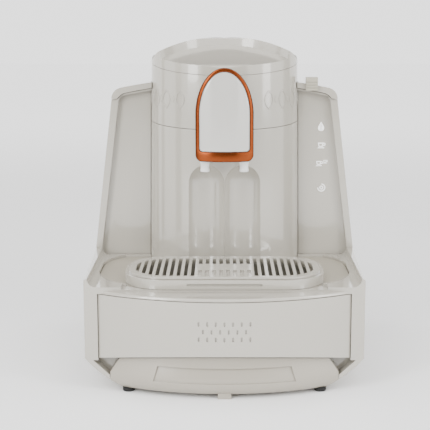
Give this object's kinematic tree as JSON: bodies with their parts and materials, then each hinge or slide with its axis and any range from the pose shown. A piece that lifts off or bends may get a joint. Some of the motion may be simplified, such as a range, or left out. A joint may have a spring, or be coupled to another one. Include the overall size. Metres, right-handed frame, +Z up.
{
  "type": "electric turkish coffee maker",
  "caption": "Electric coffee maker with a round brewing column, two spouts under an arched head, a slotted drip tray and a water tank behind.",
  "frame": {"origin": "on the floor under the middle of the object's outer box", "axes": "+X to the right as seen from the front, +Y towards the back, +Z up"},
  "size_m": [0.257, 0.272, 0.3076],
  "materials": {
    "cream_shell": "glossy warm off-white moulding",
    "cream_inner": "satin warm off-white moulding",
    "inlay_beige": "satin beige moulding",
    "copper_trim": "polished copper-coloured plating",
    "badge_white": "glossy white plate",
    "icon_light": "white lit signs",
    "black_rubber": "matt black rubber",
    "silicone": "soft grey silicone",
    "clear_tank": "clear moulded tank wall",
    "pot_steel": "brushed stainless steel",
    "steel_pin": "plain steel",
    "cast_alloy": "cast aluminium",
    "copper_coil": "enamelled copper winding",
    "board_green": "printed circuit board",
    "black_plastic": "black moulded plastic",
    "white_plastic": "white moulded plastic"
  },
  "bodies": {
    "root": {"main_housing": "cream_shell", "base_walls": "cream_shell", "deck_inlay": "inlay_beige", "tray_well": "cream_inner", "front_panel": "cream_shell", "lower_front_tub": "cream_shell", "bottom_plate": "cream_inner", "front_foot": "cream_inner", "rubber_feet": "black_rubber", "case_screws": "steel_pin", "column_lower_shell": "cream_shell", "column_upper_shell": "cream_shell", "lid_hinge_pin": "steel_pin", "outlet_pipe": "white_plastic", "tower_shell": "cream_shell", "touch_icons": "icon_light", "touch_board": "board_green", "dock_socket": "white_plastic", "dock_seal": "silicone", "brew_pot": "pot_steel", "heater_ring": "cast_alloy", "thermostat": "black_plastic", "foam_sensor": "black_plastic", "valve_body": "white_plastic", "valve_spring": "steel_pin", "solenoid_coil": "copper_coil", "solenoid_frame": "steel_pin", "water_pump": "white_plastic", "pump_mounts": "black_rubber", "suction_hose": "silicone", "feed_hose": "silicone", "feed_jet": "white_plastic", "power_board": "board_green", "control_board": "board_green", "board_standoffs": "cream_inner", "buzzer": "black_plastic", "rocker_frame": "black_plastic", "cord_gland": "black_plastic", "terminal_block": "white_plastic"},
    "brew_lid": {"brew_lid_shell": "cream_shell", "brew_lid_liner": "cream_inner", "brew_lid_seal": "silicone"},
    "spout_head": {"head_housing": "cream_shell", "badge_bezel": "copper_trim", "badge_plate": "badge_white", "spout_nozzle_left": "cream_inner", "spout_nozzle_right": "cream_inner", "outlet_seal": "silicone"},
    "tank": {"water_tank": "clear_tank", "tank_grip_bar": "cream_inner", "tank_valve_guide": "white_plastic", "tank_hinge_pins": "steel_pin"},
    "tank_lid": {"tank_lid_cover": "cream_shell", "tank_lid_tab": "cream_inner"},
    "tank_valve": {"tank_poppet": "white_plastic"},
    "tray": {"drip_tray": "cream_shell"},
    "grille": {"cup_grille": "cream_shell"},
    "brew_valve": {"valve_plunger": "steel_pin"},
    "rocker": {"power_rocker": "black_plastic"}
  },
  "joints": [
    {"name": "brew_lid_hinge", "type": "hinge", "parent": "root", "child": "brew_lid", "pos_m": [0, 0.0775, 0.292], "axis": [-1, 0, 0], "range_deg": [0, 60]},
    {"name": "tank_lift", "type": "slide", "parent": "root", "child": "tank", "axis": [0, 0, 1], "range_m": [0, 0.17]},
    {"name": "tank_lid_hinge", "type": "hinge", "parent": "tank", "child": "tank_lid", "pos_m": [0, 0.1321, 0.267], "axis": [-1, 0, 0], "range_deg": [0, 75]},
    {"name": "tank_valve_travel", "type": "slide", "parent": "tank", "child": "tank_valve", "axis": [0, 0, 1], "range_m": [-0.0025, 0]},
    {"name": "drip_tray_lift", "type": "slide", "parent": "root", "child": "tray", "axis": [0, 0, 1], "range_m": [0, 0.04]},
    {"name": "cup_grille_lift", "type": "slide", "parent": "tray", "child": "grille", "axis": [0, 0, 1], "range_m": [0, 0.035]},
    {"name": "brew_valve_lift", "type": "slide", "parent": "root", "child": "brew_valve", "axis": [0, 0, 1], "range_m": [0, 0.006], "stiffness_N_per_m": 150, "springref_m": -0.01, "deforming": ["valve_spring"]},
    {"name": "power_rocker_tilt", "type": "hinge", "parent": "root", "child": "rocker", "pos_m": [-0.074, 0.13, 0.038], "axis": [1, 0, 0], "range_deg": [0, 8]},
    {"name": "spout_head_pull", "type": "slide", "parent": "root", "child": "spout_head", "axis": [0, -1, 0], "range_m": [0, 0.04]}
  ],
  "couplings": [
    {"joint": "tank_valve_travel", "follows": "tank_lift", "ratio": -0.014706}
  ]
}
